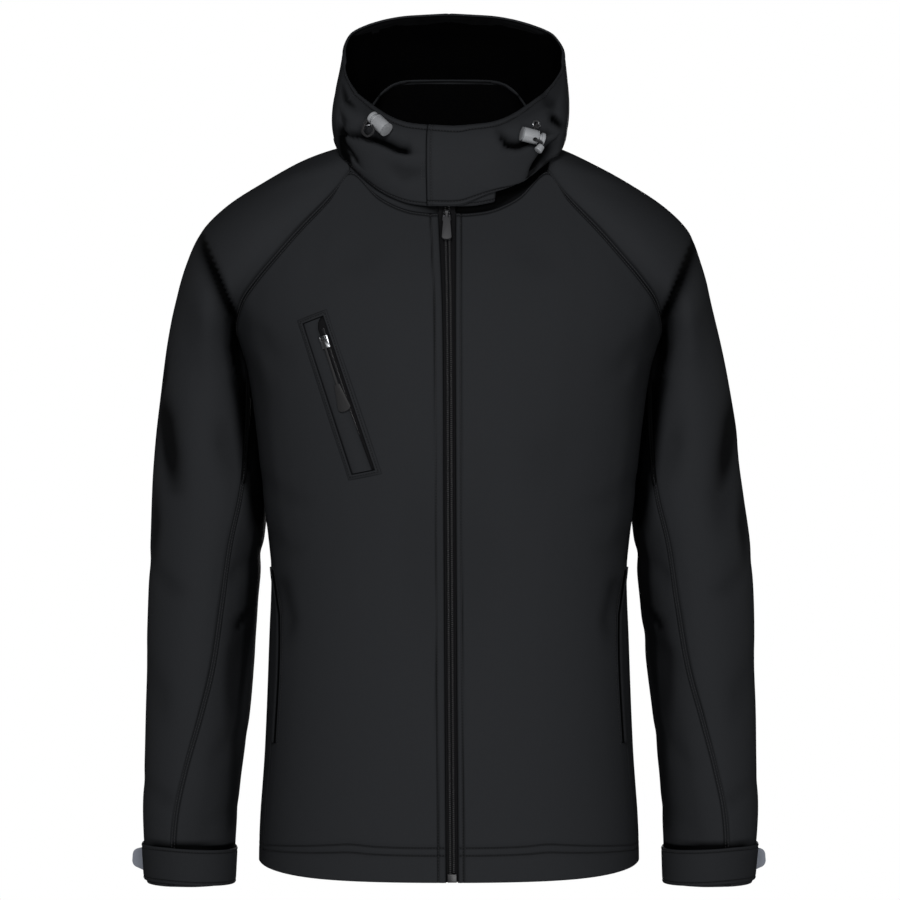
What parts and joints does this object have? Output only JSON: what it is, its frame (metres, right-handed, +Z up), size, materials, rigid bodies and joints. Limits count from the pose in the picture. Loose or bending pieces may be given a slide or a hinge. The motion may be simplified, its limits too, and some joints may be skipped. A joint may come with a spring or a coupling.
{
  "type": "hooded softshell jacket",
  "caption": "Black hooded softshell jacket with raglan sleeves, zip front, slanted chest pocket, strapped cuffs and corded hood, filled out as worn.",
  "frame": {"origin": "middle of the neck hole at shoulder height, where the wearer's shoulders carry the jacket", "axes": "+X to the viewer's right, +Y to the back of the jacket, +Z up; the front faces -Y"},
  "size_m": [0.6358, 0.3201, 0.8758],
  "materials": {
    "softshell": "black bonded softshell with a fine plain face and a dull sheen",
    "zip_tape": "black woven zip tape",
    "zip_plastic": "black moulded plastic",
    "gunmetal": "dark lacquered metal",
    "silver_metal": "dull silver metal",
    "dark_rubber": "dark grey moulded rubber",
    "grey_rubber": "bluish grey moulded rubber",
    "grey_plastic": "light grey moulded plastic",
    "cord": "black braided elastic cord"
  },
  "bodies": {
    "garment": {"front_left": "softshell", "front_right": "softshell", "back": "softshell", "sleeve_upper_left": "softshell", "sleeve_under_left": "softshell", "sleeve_upper_right": "softshell", "sleeve_under_right": "softshell", "collar": "softshell", "hood_left": "softshell", "hood_right": "softshell", "zip_tape": "zip_tape", "zip_chain": "zip_plastic", "zip_bottom_box": "zip_plastic", "slider_main": "gunmetal", "chest_pocket_welt": "softshell", "chest_pocket_zip": "zip_tape", "chest_slider": "silver_metal", "side_pocket_left": "zip_tape", "side_pocket_right": "zip_tape", "cuff_strap_left": "softshell", "cuff_tab_left": "grey_rubber", "cuff_strap_right": "softshell", "cuff_tab_right": "grey_rubber", "eyelet_left": "silver_metal", "lock_left": "grey_plastic", "cord_left": "cord", "eyelet_right": "silver_metal", "lock_right": "grey_plastic", "cord_right": "cord", "cord_stop_right": "grey_plastic"},
    "pull_main_body": {"pull_main": "dark_rubber"},
    "chest_pull_body": {"chest_pull": "dark_rubber"},
    "plunger_left_body": {"plunger_left": "grey_plastic"},
    "plunger_right_body": {"plunger_right": "grey_plastic"}
  },
  "joints": [
    {"name": "main_pull_hinge", "type": "hinge", "parent": "garment", "child": "pull_main_body", "pos_m": [-0.0022, -0.10155, -0.05924], "axis": [-1, 0.0012, 0], "range_deg": [0, 100]},
    {"name": "chest_pull_hinge", "type": "hinge", "parent": "garment", "child": "chest_pull_body", "pos_m": [-0.12176, -0.12465, -0.18282], "axis": [-0.8931, 0.3317, -0.3038], "range_deg": [0, 110]},
    {"name": "left_lock_press", "type": "slide", "parent": "garment", "child": "plunger_left_body", "axis": [0.6285, -0.4794, -0.6125], "range_m": [0, 0.003], "stiffness_N_per_m": 300, "springref_m": -0.001},
    {"name": "right_lock_press", "type": "slide", "parent": "garment", "child": "plunger_right_body", "axis": [-0.9425, -0.2504, 0.2214], "range_m": [0, 0.003], "stiffness_N_per_m": 300, "springref_m": -0.001}
  ]
}
